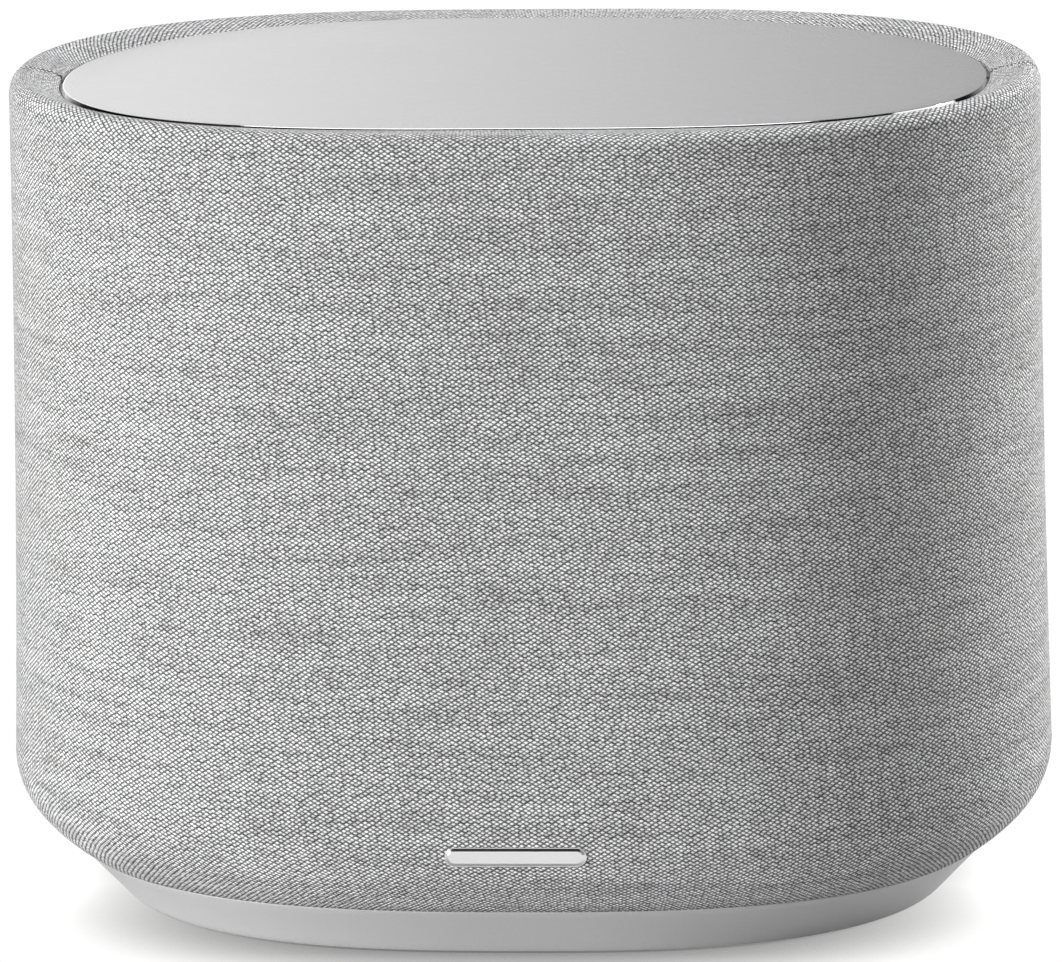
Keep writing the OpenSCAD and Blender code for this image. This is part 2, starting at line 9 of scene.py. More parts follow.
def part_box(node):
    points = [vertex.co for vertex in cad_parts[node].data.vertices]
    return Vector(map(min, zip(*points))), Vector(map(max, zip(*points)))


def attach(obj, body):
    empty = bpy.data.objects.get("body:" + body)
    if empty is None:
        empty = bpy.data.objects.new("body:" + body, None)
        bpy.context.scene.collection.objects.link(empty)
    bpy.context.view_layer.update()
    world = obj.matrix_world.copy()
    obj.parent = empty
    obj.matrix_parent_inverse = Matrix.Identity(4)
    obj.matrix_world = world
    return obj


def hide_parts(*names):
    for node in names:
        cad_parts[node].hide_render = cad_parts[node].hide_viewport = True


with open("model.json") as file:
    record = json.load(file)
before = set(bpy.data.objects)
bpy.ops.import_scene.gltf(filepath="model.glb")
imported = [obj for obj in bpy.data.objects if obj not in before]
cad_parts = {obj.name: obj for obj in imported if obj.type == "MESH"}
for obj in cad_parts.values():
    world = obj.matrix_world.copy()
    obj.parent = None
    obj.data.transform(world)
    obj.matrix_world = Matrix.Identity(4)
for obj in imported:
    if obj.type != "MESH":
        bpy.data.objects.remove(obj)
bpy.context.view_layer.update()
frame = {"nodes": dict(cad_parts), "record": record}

# ---- dimensions, in millimetres, from the frame ------------------------------------------

MM = 0.001
sleeve_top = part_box("fabric_sleeve")[1] / MM
plate_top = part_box("top_plate")[1] / MM
plinth_low, plinth_high = (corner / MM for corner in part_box("plinth"))
foot_low, foot_high = (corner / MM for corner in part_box("foot_ring"))
badge_low, badge_high = (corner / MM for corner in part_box("badge"))
tray_low, tray_high = (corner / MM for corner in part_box("terminal_tray"))

PX, PY = 2.8, 2.13           # squareness of the oval across its width and its depth
HALF_W, HALF_D = sleeve_top.x, sleeve_top.y
DEPTH = HALF_D / HALF_W
WIDEST_Z = 58.5              # height of the widest section
WALL_TOP, WALL_TOP_Z = 216, 343.5
CREST_IN, CREST_Z, CREST_LIFT, CREST_TIP = 6.5, 348.9, 1.7, 0.2
PLATE_W, PLATE_D, PLATE_Z, PLATE_CROWN = plate_top.x, plate_top.y, plate_top.z, 2.5
PLATE_T = 2.6
TIP_SPREAD = 0.2             # share of the depth over which the rim rises again at each end
TUCK_Z = 340.5               # how far down the sleeve goes beside the plate
HEM_Z, HEM = 22.5, 197.4
COVE_KNEE_Z = 38.8
FABRIC_T = 0.9
FOOT = 176.8                 # half width of the plinth's side at the floor
WINDOW_GAP = 0.6             # air between the sleeve and the terminal tray
PICK, FLOAT = 0.93, 3.02     # pitch of the weave's rows and of the floats along a row
WEAVE_SKEW = 0.12            # how far the floats lean along the row, per millimetre up


# ---- oval sections -----------------------------------------------------------------------

def signed_power(value, power):
    return np.sign(value) * np.abs(value) ** power


def plan_at(angle):
    """The unit oval at these parameter angles."""
    return signed_power(np.cos(angle), 2 / PX), signed_power(np.sin(angle), 2 / PY)


def arc_table():
    """Parameter angles, and how far round the widest section each is."""
    angle = np.linspace(0, 2 * math.pi, 20001)
    x, y = plan_at(angle)
    length = np.hypot(np.diff(HALF_W * x), np.diff(HALF_D * y))
    return angle, np.concatenate([[0], np.cumsum(length)])


ANGLES, ALONG = arc_table()
ROUND = float(ALONG[-1])


class Plan:
    """Stations round the oval, given as distances along the widest section."""

    def __init__(self, places):
        self.along = np.asarray(places)
        self.x, self.y = plan_at(np.interp(self.along, ALONG, ANGLES))

    @classmethod
    def even(cls, stations):
        return cls(np.linspace(0, ROUND, stations, endpoint=False))

    def ring(self, a, b, z, lift=0.0, tip=0.0):
        """The section's points. lift raises it towards both ends, and tip only at the very ends."""
        height = z + lift * self.x**2 + tip * np.exp(-((self.y / TIP_SPREAD) ** 2))
        return np.stack([a * self.x, b * self.y, height], axis=1)


def wall_half(z):
    t = (WALL_TOP_Z - z) / (WALL_TOP_Z - WIDEST_Z)
    return WALL_TOP + (HALF_W - WALL_TOP) * (t / 3 + 2 * t * t / 3)


def scaled(a, z):
    return (a, a * DEPTH, z, 0.0)


def grown(section, d, dz=0.0):
    """The section moved out by d on all sides and up by dz."""
    a, b, z, lift = section
    return (a + d, b + d, z + dz, lift)


def smooth_steps(low, high, n):
    return [low + (high - low) * k / n for k in range(n + 1)]


def cove_sections(n):
    """From the hem up to the widest section."""
    sections = []
    for t in smooth_steps(0, 1, n):
        a = (1 - t) ** 2 * HEM + 2 * t * (1 - t) * HALF_W + t * t * HALF_W
        z = (1 - t) ** 2 * HEM_Z + 2 * t * (1 - t) * COVE_KNEE_Z + t * t * WIDEST_Z
        sections.append(scaled(a, z))
    return sections


def through(sections, n):
    """A smooth curve through the sections, in n steps from each to the next."""
    p = np.array([sections[0], *sections, sections[-1]])
    curve = []
    for before, start, end, after in zip(p, p[1:], p[2:], p[3:]):
        for t in smooth_steps(0, 1, n)[1:]:
            pull_start, pull_end = (end - before) / 2, (after - start) / 2
            curve.append(tuple(
                (2 * t**3 - 3 * t**2 + 1) * start + (3 * t**2 - 2 * t**3) * end
                + (t**3 - 2 * t**2 + t) * pull_start + (t**3 - t**2) * pull_end
            ))
    return curve


def beside_plate(gap, z, lift, tip=0.0):
    return (PLATE_W + gap, PLATE_D + gap, z, lift, tip)


def rim_sections(n):
    """From the wall over the crest, down to the plate's edge and in beside it."""
    rise = []
    for angle in smooth_steps(0, math.pi / 2, n):
        inset = CREST_IN * (1 - math.cos(angle))
        share = math.sin(angle)
        z = WALL_TOP_Z + (CREST_Z - WALL_TOP_Z) * share
        lift, tip = CREST_LIFT * share, CREST_TIP * share
        rise.append((WALL_TOP - inset, WALL_TOP * DEPTH - inset, z, lift, tip))
    fall = [
        beside_plate(8.5, 348.55, -0.3, 1.3),
        beside_plate(2.6, 348.2, -2.8, 2.4),
        beside_plate(1.1, 347.95, -3.2, 2.2),
        beside_plate(0.65, 347.8, -3.2, 2.2),
        beside_plate(0.42, 347.5, -3.2, 2.2),
        beside_plate(0.35, 346.9, -3.2, 2.0),
    ]
    tuck = [beside_plate(0.4, z, 0.0) for z in (TUCK_Z + 1.5, TUCK_Z)]
    return rise + through([rise[-1], *fall], 3) + tuck


# ---- meshes ------------------------------------------------------------------------------

def new_mesh(name, points, faces, smooth=True):
    """A mesh object from points in millimetres."""
    mesh = bpy.data.meshes.new(name)
    mesh.from_pydata((np.asarray(points) * MM).tolist(), [], faces)
    mesh.validate()
    mesh.polygons.foreach_set("use_smooth", [smooth] * len(mesh.polygons))
    mesh.update()
    piece = bpy.data.objects.new(name, mesh)
    bpy.context.scene.collection.objects.link(piece)
    return piece


def ring_faces(rings, stations, closed):
    """Quads between neighbouring rings; closed joins the last ring to the first."""
    faces = []
    for k in range(rings if closed else rings - 1):
        low, high = k * stations, (k + 1) % rings * stations
        for i in range(stations):
            j = (i + 1) % stations
            faces.append((low + i, low + j, high + j, high + i))
    return faces


def loft(name, plan, sections, closed=False):
    """A solid through the sections: a closed loop of them, or a stack capped at both ends."""
    n = len(plan.x)
    points = np.concatenate([plan.ring(*s) for s in sections])
    faces = ring_faces(len(sections), n, closed)
    if not closed:
        first, last = len(points), len(points) + 1
        ends = [points[:n].mean(0), points[-n:].mean(0)]
        points = np.concatenate([points, ends])
        top = (len(sections) - 1) * n
        faces += [((i + 1) % n, i, first) for i in range(n)]
        faces += [(top + i, top + (i + 1) % n, last) for i in range(n)]
    return new_mesh(name, points, faces)


def sharpen(piece, degrees=30):
    """Keeps edges sharper than this crisp and shades the rest smooth."""
    bpy.context.view_layer.objects.active = piece
    piece.select_set(True)
    bpy.ops.object.shade_smooth_by_angle(angle=math.radians(degrees))
    piece.select_set(False)


def bevel(piece, width, segments=3, degrees=35):
    """Rounds the piece's edges by a width in millimetres."""
    modifier = piece.modifiers.new("edges", "BEVEL")
    modifier.width = width * MM
    modifier.segments = segments
    modifier.limit_method = "ANGLE"
    modifier.angle_limit = math.radians(degrees)
    modifier.harden_normals = True


# ---- shader nodes ------------------------------------------------------------------------

class Nodes:
    """Adds nodes to a tree, so that a material or the world reads from top to bottom."""

    def __init__(self, tree):
        self.tree = tree

    def node(self, kind, values=(), **settings):
        made = self.tree.nodes.new(kind)
        for key, value in settings.items():
            setattr(made, key, value)
        for key, value in dict(values).items():
            if isinstance(value, bpy.types.NodeSocket):
                self.tree.links.new(value, made.inputs[key])
            else:
                made.inputs[key].default_value = value
        return made

    def math(self, operation, *values, clamp=False):
        node = self.node("ShaderNodeMath", enumerate(values), operation=operation, use_clamp=clamp)
        return node.outputs[0]

    def vector(self, x=0.0, y=0.0, z=0.0):
        return self.node("ShaderNodeCombineXYZ", {0: x, 1: y, 2: z}).outputs[0]

    def stretched(self, vector, x, y, z):
        return self.node(
            "ShaderNodeVectorMath", {0: vector, 1: (x, y, z)}, operation="MULTIPLY"
        ).outputs[0]

    def noise(self, vector, scale=1.0, detail=2.0, rough=0.5, output=0):
        values = {"Vector": vector, "Scale": scale, "Detail": detail, "Roughness": rough}
        return self.node("ShaderNodeTexNoise", values).outputs[output]

    def ramp(self, value, low, high, to_low=0.0, to_high=1.0):
        values = {0: value, 1: low, 2: high, 3: to_low, 4: to_high}
        return self.node("ShaderNodeMapRange", values, clamp=True).outputs[0]

    def mix(self, factor, a, b):
        """Between two colours."""
        node = self.node("ShaderNodeMix", data_type="RGBA")
        for socket, value in zip((node.inputs[0], node.inputs[6], node.inputs[7]), (factor, a, b)):
            if isinstance(value, bpy.types.NodeSocket):
                self.tree.links.new(value, socket)
            else:
                socket.default_value = value
        return node.outputs[2]


class Shader(Nodes):
    """A new material round one principled shader."""

    def __init__(self, name, roughness=0.5, metallic=0.0, **uniform):
        self.material = bpy.data.materials.new(name)
        self.material.use_nodes = True
        super().__init__(self.material.node_tree)
        self.shader = next(n for n in self.tree.nodes if n.type == "BSDF_PRINCIPLED")
        self.shader.inputs["Roughness"].default_value = roughness
        self.shader.inputs["Metallic"].default_value = metallic
        for socket, value in uniform.items():
            self.shader.inputs[socket.replace("_", " ")].default_value = value

    def place(self):
        """The point on the piece in millimetres."""
        point = self.node("ShaderNodeTexCoord").outputs["Object"]
        scaled_point = self.node("ShaderNodeVectorMath", {0: point, 3: 1 / MM}, operation="SCALE")
        return scaled_point.outputs[0]

    def use(self, **sockets):
        for key, value in sockets.items():
            self.tree.links.new(value, self.shader.inputs[key.replace("_", " ")])
        return self.material

    def bump(self, height, distance, strength=1.0):
        """A relief of that many millimetres."""
        values = {"Height": height, "Distance": distance * MM, "Strength": strength}
        return self.node("ShaderNodeBump", values).outputs["Normal"]


def grey(level, warm=0.0):
    """A linear colour; warm tilts it from blue to red."""
    return (level * (1 + warm), level, level * (1 - warm), 1.0)


def rgb(colour, times=1.0):
    return (*[min(1.0, c * times) for c in colour], 1.0)


# ---- materials ---------------------------------------------------------------------------

def woven_cloth(name):
    """Heather plain weave: pale floats over lower ends, slubs along the rows, and painted shade
    that darkens the colour the lower the weave lies, grey on the ends and dark in the gaps.
    """
    s = Shader(name, roughness=0.85, Sheen_Weight=0.04, Specular_IOR_Level=0.25)
    uv = s.node("ShaderNodeUVMap", uv_map="weave").outputs[0]
    parts = s.node("ShaderNodeSeparateXYZ", {0: uv}).outputs
    wander = s.noise(s.stretched(uv, 0.05, 0.06, 0), detail=2, output=1)
    drift = s.node("ShaderNodeSeparateXYZ", {0: wander}).outputs
    u = s.math("ADD", parts[0], s.math("MULTIPLY", s.math("SUBTRACT", drift[0], 0.5), 2.0))
    v = s.math("ADD", parts[1], s.math("MULTIPLY", s.math("SUBTRACT", drift[1], 0.5), 1.0))

    # the floats lie in a diagonal lattice: each fills one diamond between two dark diagonals
    along = s.math("DIVIDE", s.math("ADD", u, s.math("MULTIPLY", v, WEAVE_SKEW)), FLOAT)
    across = s.math("DIVIDE", v, 2 * PICK)
    rising, falling = s.math("ADD", along, across), s.math("SUBTRACT", along, across)
    i, j = s.math("ROUND", rising), s.math("ROUND", falling)
    row, column = s.math("SUBTRACT", i, j), s.math("ADD", i, j)
    chance = s.node("ShaderNodeTexWhiteNoise", {0: s.vector(i, j)}, noise_dimensions="2D").outputs
    chances = s.node("ShaderNodeSeparateXYZ", {0: chance["Color"]}).outputs
    stray = [s.ramp(chances[axis], 0, 1, -0.10, 0.10) for axis in (0, 1)]
    from_i = s.math("ADD", s.math("SUBTRACT", rising, i), stray[0])
    from_j = s.math("ADD", s.math("SUBTRACT", falling, j), stray[1])
    weft = s.math("MULTIPLY", s.math("COSINE", s.math("MULTIPLY", from_i, math.pi)),
                  s.math("COSINE", s.math("MULTIPLY", from_j, math.pi)))
    # an end of the warp shows between two floats of a row
    end_u = s.math("SUBTRACT", s.math("ABSOLUTE", s.math("ADD", from_i, from_j)), 1.0)
    end_v = s.math("SUBTRACT", from_i, from_j)
    warp = dome(s, s.math("DIVIDE", end_u, 0.36), s.math("DIVIDE", end_v, 0.55))
    height = s.math("MAXIMUM", weft, s.math("MULTIPLY", warp, 0.34))

    # colour wanders along each yarn, in long streaks along the rows
    def drifting(x, x_scale, y, y_scale, **settings):
        place = s.vector(s.math("MULTIPLY", x, x_scale), s.math("MULTIPLY", y, y_scale))
        return s.noise(place, **settings)

    slub = drifting(u, 0.022, row, 0.61, detail=3, rough=0.6)
    streak = drifting(u, 0.010, v, 0.13, detail=4, rough=0.62)
    ends = drifting(column, 0.45, v, 0.012)
    fibre = drifting(u, 1.3, v, 5.0)
    tone = s.ramp(chance["Value"], 0, 1, -0.22, 0.22)
    for cloud, darker, lighter in (
            (slub, -0.13, 0.13), (streak, -0.17, 0.15), (ends, -0.07, 0.07), (fibre, -0.08, 0.08)):
        tone = s.math("ADD", tone, s.ramp(cloud, 0.3, 0.7, darker, lighter))
    # painted shade: the colour follows the weave's height, dark in the gaps and on the flanks of
    # each yarn, grey on the lower ends
    yarn = s.math("ADD", s.ramp(height, 0.06, 0.80, 0.0, 0.96), s.math("MULTIPLY", tone, height))
    shade = s.math("MAXIMUM", yarn, 0.015)
    bluish = s.math("MULTIPLY", shade, 1.01)
    cloth = s.node("ShaderNodeCombineColor", {0: shade, 1: shade, 2: bluish}).outputs[0]

    # painted shade: the cloth is darkened to near black along the fold of each end seam, as deep as
    # the seam attribute says
    seam = s.node("ShaderNodeAttribute", attribute_name="seam").outputs["Fac"]
    colour = s.mix(s.math("MULTIPLY", seam, 0.92), cloth, grey(0.03))
    relief = s.math("ADD", height, s.math("MULTIPLY", fibre, 0.25))
    return s.use(Base_Color=colour, Normal=s.bump(relief, 0.28))


def dome(s, x, y):
    """Height of a round hump over the unit circle, 0 outside it."""
    far = s.math("ADD", s.math("MULTIPLY", x, x), s.math("MULTIPLY", y, y))
    return s.math("SQRT", s.math("SUBTRACT", 1.0, far, clamp=True))


def satin_metal(name, colour, roughness=0.34, grain=0.008):
    """Bead-blasted metal: a fine even grain and a slight drift in gloss."""
    s = Shader(name, metallic=1.0)
    place = s.place()
    fine = s.noise(place, 4.0, detail=2)
    drift = s.noise(place, 0.02, detail=3)
    rough = s.math("ADD", s.ramp(fine, 0.3, 0.7, roughness - 0.03, roughness + 0.03),
                   s.ramp(drift, 0.3, 0.7, -0.008, 0.008))
    tint = s.mix(s.ramp(drift, 0.3, 0.7), rgb(colour, 0.985), rgb(colour, 1.015))
    return s.use(Base_Color=tint, Roughness=rough, Normal=s.bump(fine, grain))


def polished_metal(name, colour, roughness=0.05):
    s = Shader(name, metallic=1.0)
    place = s.place()
    haze = s.noise(place, 0.4, detail=4)
    marks = s.noise(s.stretched(place, 0.2, 3.0, 3.0), detail=3)
    rough = s.math("ADD", s.ramp(haze, 0.3, 0.7, roughness, roughness + 0.04),
                   s.ramp(marks, 0.6, 0.8, 0.0, 0.05))
    tint = s.mix(haze, rgb(colour, 0.96), rgb(colour, 1.02))
    return s.use(Base_Color=tint, Roughness=rough, Normal=s.bump(marks, 0.001))


def satin_paint(name, colour, roughness=0.38, flake=0.05):
    """Paint with a fine flake and the faint ripple of a moulding under it."""
    s = Shader(name, metallic=0.25, Coat_Weight=0.25, Coat_Roughness=0.3)
    place = s.place()
    flakes = s.noise(place, 3.5, detail=1)
    ripple = s.noise(place, 0.25, detail=3)
    tint = s.mix(s.ramp(flakes, 0.35, 0.65), rgb(colour, 1 - flake), rgb(colour, 1 + flake))
    rough = s.ramp(ripple, 0.3, 0.7, roughness - 0.03, roughness + 0.04)
    relief = s.math("ADD", s.math("MULTIPLY", flakes, 0.15), ripple)
    return s.use(Base_Color=tint, Roughness=rough, Normal=s.bump(relief, 0.02))


def moulded(name, colour, roughness=0.55, relief=0.05):
    """Moulded plastic with an eroded grain."""
    s = Shader(name, Specular_IOR_Level=0.45)
    place = s.place()
    grain = {"Vector": place, "Scale": 1.6}
    cells = s.node("ShaderNodeTexVoronoi", grain, feature="SMOOTH_F1").outputs[0]
    cloud = s.noise(place, 0.06, detail=4)
    tint = s.mix(s.ramp(cloud, 0.3, 0.7), rgb(colour, 0.88), rgb(colour, 1.12))
    rough = s.math("ADD", s.ramp(cells, 0, 0.7, roughness - 0.08, roughness + 0.08),
                   s.ramp(cloud, 0.3, 0.7, -0.04, 0.04))
    return s.use(Base_Color=tint, Roughness=rough, Normal=s.bump(cells, relief))


def rubber(name, colour, relief=0.08):
    s = Shader(name, Specular_IOR_Level=0.3)
    place = s.place()
    pits = s.noise(place, 1.2, detail=4, rough=0.65)
    dust = s.noise(place, 0.08, detail=3)
    tint = s.mix(s.ramp(dust, 0.4, 0.75), rgb(colour), rgb([c + 0.05 for c in colour]))
    rough = s.ramp(pits, 0.3, 0.7, 0.65, 0.9)
    return s.use(Base_Color=tint, Roughness=rough, Normal=s.bump(pits, relief))


def brushed_metal(name, colour, roughness=0.3, stretch=(0.15, 4.0, 4.0)):
    s = Shader(name, metallic=1.0)
    place = s.place()
    lines = s.noise(s.stretched(place, *stretch), detail=3)
    tint = s.mix(s.ramp(lines, 0.3, 0.7), rgb(colour, 0.9), rgb(colour, 1.1))
    rough = s.ramp(lines, 0.3, 0.7, roughness - 0.08, roughness + 0.1)
    return s.use(Base_Color=tint, Roughness=rough, Normal=s.bump(lines, 0.01))


def fibrous(name, colour, scale=0.8, relief=0.3, long=(1.0, 1.0, 1.0)):
    """Felt, paper, board or wound wire: fibres that run the way that long says."""
    s = Shader(name, roughness=0.85, Specular_IOR_Level=0.2)
    place = s.place()
    hair = s.noise(s.stretched(place, *long), scale, detail=6, rough=0.7)
    patch = s.noise(place, 0.03, detail=3)
    tint = s.mix(s.ramp(hair, 0.35, 0.65), rgb(colour, 0.7), rgb(colour, 1.2))
    tint = s.mix(s.ramp(patch, 0.4, 0.7, 0, 0.3), tint, rgb(colour, 0.85))
    return s.use(Base_Color=tint, Normal=s.bump(hair, relief))


def circuit_board(name, colour):
    """Solder mask over copper tracks on a square raster."""
    s = Shader(name, roughness=0.35)
    place = s.place()
    raster = s.stretched(place, 0.35, 0.35, 0.35)
    tracks = s.node("ShaderNodeTexBrick", {"Vector": raster}).outputs["Fac"]
    cloud = s.noise(place, 0.2, detail=3)
    tint = s.mix(tracks, rgb(colour), rgb(colour, 1.8))
    tint = s.mix(s.ramp(cloud, 0.4, 0.7, 0, 0.3), tint, rgb(colour, 0.6))
    return s.use(Base_Color=tint, Normal=s.bump(tracks, 0.03))


colours = {m["slot"]: m["base_color"] for m in frame["record"]["materials"]}
materials = {
    "sleeve_fabric": woven_cloth("sleeve_fabric"),
    "plate_aluminium": satin_metal("plate_aluminium", (0.80, 0.80, 0.81), roughness=0.28),
    "badge_chrome": polished_metal("badge_chrome", (0.80, 0.80, 0.81)),
    "plinth_grey": satin_paint("plinth_grey", (0.62, 0.62, 0.625)),
    "foot_rubber": rubber("foot_rubber", (0.03, 0.03, 0.03)),
    "moulding_dark": moulded("moulding_dark", colours["moulding_dark"]),
    "panel_black": moulded("panel_black", colours["panel_black"], roughness=0.45, relief=0.04),
    "gasket_foam": rubber("gasket_foam", colours["gasket_foam"], relief=0.2),
    "bond_tape": fibrous("bond_tape", colours["bond_tape"], relief=0.05),
    "board_wood": fibrous("board_wood", colours["board_wood"], relief=0.08),
    "screw_steel": brushed_metal("screw_steel", colours["screw_steel"]),
    "wadding_white": fibrous("wadding_white", colours["wadding_white"], scale=0.5, relief=0.8),
    "basket_steel": moulded("basket_steel", colours["basket_steel"], roughness=0.4, relief=0.03),
    "pole_steel": brushed_metal("pole_steel", colours["pole_steel"]),
    "magnet_ferrite": moulded("magnet_ferrite", colours["magnet_ferrite"], roughness=0.6),
    "cone_paper": fibrous("cone_paper", colours["cone_paper"], scale=1.2, relief=0.1),
    "former_film": moulded("former_film", colours["former_film"], roughness=0.3, relief=0.01),
    "coil_copper": brushed_metal("coil_copper", colours["coil_copper"], stretch=(0.2, 0.2, 6.0)),
    "spider_cloth": fibrous("spider_cloth", colours["spider_cloth"], scale=2.0, relief=0.12),
    "contact_metal": polished_metal("contact_metal", colours["contact_metal"], roughness=0.15),
    "light_clear": moulded("light_clear", colours["light_clear"], roughness=0.25, relief=0.005),
    "chassis_aluminium": brushed_metal("chassis_aluminium", colours["chassis_aluminium"]),
    "board_green": circuit_board("board_green", colours["board_green"]),
    "part_dark": moulded("part_dark", colours["part_dark"]),
    "winding_core": fibrous("winding_core", colours["winding_core"],
                            relief=0.1, long=(0.3, 4.0, 4.0)),
    "sleeve_blue": moulded("sleeve_blue", colours["sleeve_blue"], roughness=0.3, relief=0.01),
    "lead_red": rubber("lead_red", colours["lead_red"], relief=0.02),
}
edge_polish = polished_metal("plate_edge", (0.76, 0.76, 0.77), roughness=0.04)


def finish_piece(piece, body, slot, *nodes):
    """Gives a new piece its material and its body, and hides the CAD nodes that it stands for."""
    if not piece.data.materials:
        piece.data.materials.append(materials[slot])
    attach(piece, body)
    if nodes:
        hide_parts(*nodes)
    return piece


# ---- sleeve ------------------------------------------------------------------------------

# SEAM_HALF also sets the width of the painted shade along each seam
SEAM_HALF, SEAM_DEPTH = 0.75, 0.7      # half width and depth of the groove of an end seam
SEAM_OPENING = 3.0           # how far from the plate the groove starts to widen
PUFF, PUFF_AT, PUFF_HALF = 0.25, 3.2, 1.6       # the cloth swells beside the groove
STATION_STEP = 3.4
WINDOW_ROUND = 3.0           # radius of the window's corners
WINDOW_SLACK = 0.2           # the window is cut this much lower than its gap would make it
# the cut edge of the window rolls in: (outward, inward along y) from the window's outline
WINDOW_ROLL = ((-0.12, 0.35), (-0.2, 1.0), (-0.2, 3.0))
window_half = tray_high.x + WINDOW_GAP
window_low = tray_low.z - WINDOW_GAP + WINDOW_SLACK
window_high = tray_high.z + WINDOW_GAP - WINDOW_SLACK


def sleeve_plan():
    """Even stations, closer at the two end seams and with one on each side of the window."""
    near_seam = [side * d for d in (0.45, 0.9, 1.5, 2.4) for side in (-1, 1)] + [0]
    fixed = [(seam + d) % ROUND for seam in (0, ROUND / 2) for d in near_seam]
    fixed += [ROUND / 4 + side * window_half for side in (-1, 1)]
    fixed = sorted(fixed)
    places = []
    for low, high in zip(fixed, fixed[1:] + [ROUND]):
        count = max(1, round((high - low) / STATION_STEP))
        places += [low + (high - low) * k / count for k in range(count)]
    return Plan(places)


def sleeve_sections():
    """The sleeve's profile from the hem to the tuck beside the plate."""
    hem = [scaled(HEM - 4, HEM_Z + 1.2), scaled(HEM - 1.6, HEM_Z + 0.15)]
    heights = (
        smooth_steps(WIDEST_Z, window_low, 14)[1:]
        + smooth_steps(window_low, window_high, 14)[1:]
        + smooth_steps(window_high, WALL_TOP_Z, 36)[1:-1]
    )
    wall = [scaled(wall_half(z), z) for z in heights]
    return hem + cove_sections(16) + wall + rim_sections(9)


def seam_groove(plan, sections):
    """How deep each point lies in an end seam's fold, and how far it moves out for that."""
    away = np.minimum(np.abs(plan.along - ROUND / 2), np.minimum(plan.along, ROUND - plan.along))
    to_plate = np.array([s[0] - PLATE_W for s in sections])
    spread = SEAM_HALF * (1 + 2.0 * np.exp(-((to_plate / SEAM_OPENING) ** 2)))
    seam = np.exp(-((away / spread[:, None]) ** 2))
    swell = PUFF * np.exp(-(((away - PUFF_AT) / PUFF_HALF) ** 2))
    return seam, swell - SEAM_DEPTH * seam


def window_cells(plan, sections):
    """The stations and sections that bound the window for the terminal tray."""
    back = ROUND / 4
    first, last = (np.abs(plan.along - place).argmin()
                   for place in (back - window_half, back + window_half))
    heights = np.array([s[2] for s in sections])
    wall = heights[: heights.argmax()]
    low, high = (np.abs(wall - z).argmin() for z in (window_low, window_high))
    return first, last, low, high


def rolled_edge(rim):
    """Rings of points that carry the cut edge of the window inwards."""
    outward = rim - np.array([0, 0, (window_low + window_high) / 2])
    outward[:, 1] = 0
    outward /= np.linalg.norm(outward, axis=1, keepdims=True)
    return [rim + outward * out - np.array([0, inward, 0]) for out, inward in WINDOW_ROLL]


def fabric_sleeve():
    """One sheet from the hem to the tuck, with a seam at each end and a window at the back."""
    plan = sleeve_plan()
    sections = sleeve_sections()
    n, m = len(plan.x), len(sections)
    side = np.array([(s[1], s[2]) for s in sections])
    up = np.concatenate([[0], np.cumsum(np.hypot(*np.diff(side, axis=0).T))])

    # the seams are pressed in along the profile's own normal
    seam, out = seam_groove(plan, sections)
    tangent = np.gradient(np.array([(s[0], s[2] + s[3]) for s in sections]), axis=0)
    tangent /= np.linalg.norm(tangent, axis=1, keepdims=True)
    points = np.array([plan.ring(*s) for s in sections])
    points[:, :, 0] += tangent[:, 1:] * out * plan.x
    points[:, :, 2] -= tangent[:, :1] * out

    first, last, low, high = window_cells(plan, sections)
    points = soften_corners(points, first, last, low, high, WINDOW_ROUND)
    faces = [face for index, face in enumerate(ring_faces(m, n, closed=False))
             if not (low <= index // n < high and first <= index % n < last)]

    loop = [(low, i) for i in range(first, last)] + [(k, last) for k in range(low, high)]
    loop += [(high, i) for i in range(last, first, -1)]
    loop += [(k, first) for k in range(high, low, -1)]
    edge = [k * n + i for k, i in loop]
    cloth = points.reshape(-1, 3)
    roll = rolled_edge(cloth[edge])
    rings = [edge] + [[len(cloth) + r * len(edge) + q for q in range(len(edge))]
                      for r in range(len(roll))]
    for outer, inner in zip(rings, rings[1:]):
        for q in range(len(edge)):
            w = (q + 1) % len(edge)
            faces.append((outer[q], inner[q], inner[w], outer[w]))

    piece = new_mesh("fabric_sleeve_woven", np.concatenate([cloth, *roll]), faces)
    add_weave_map(piece, plan, up, edge, len(roll))
    add_seam_shade(piece, seam)
    solid = piece.modifiers.new("thickness", "SOLIDIFY")
    solid.thickness = FABRIC_T * MM
    solid.offset = -1
    finish_piece(piece, "enclosure", "sleeve_fabric", "fabric_sleeve")
    return piece


def soften_corners(points, first, last, low, high, radius):
    """Moves the stations round each corner of the window onto a round corner."""
    for i, side in ((first, 1), (last, -1)):
        for k, rise in ((low, 1), (high, -1)):
            corner = points[k, i].copy()
            shift = radius * (1 - math.sqrt(0.5))
            direction = np.array([-side, 0, rise])
            reach = np.linalg.norm((points - corner)[:, :, [0, 2]], axis=2)
            weight = np.exp(-((reach / radius) ** 2)) * (points[:, :, 1] > 0)
            points = points + weight[:, :, None] * direction * shift
    return points


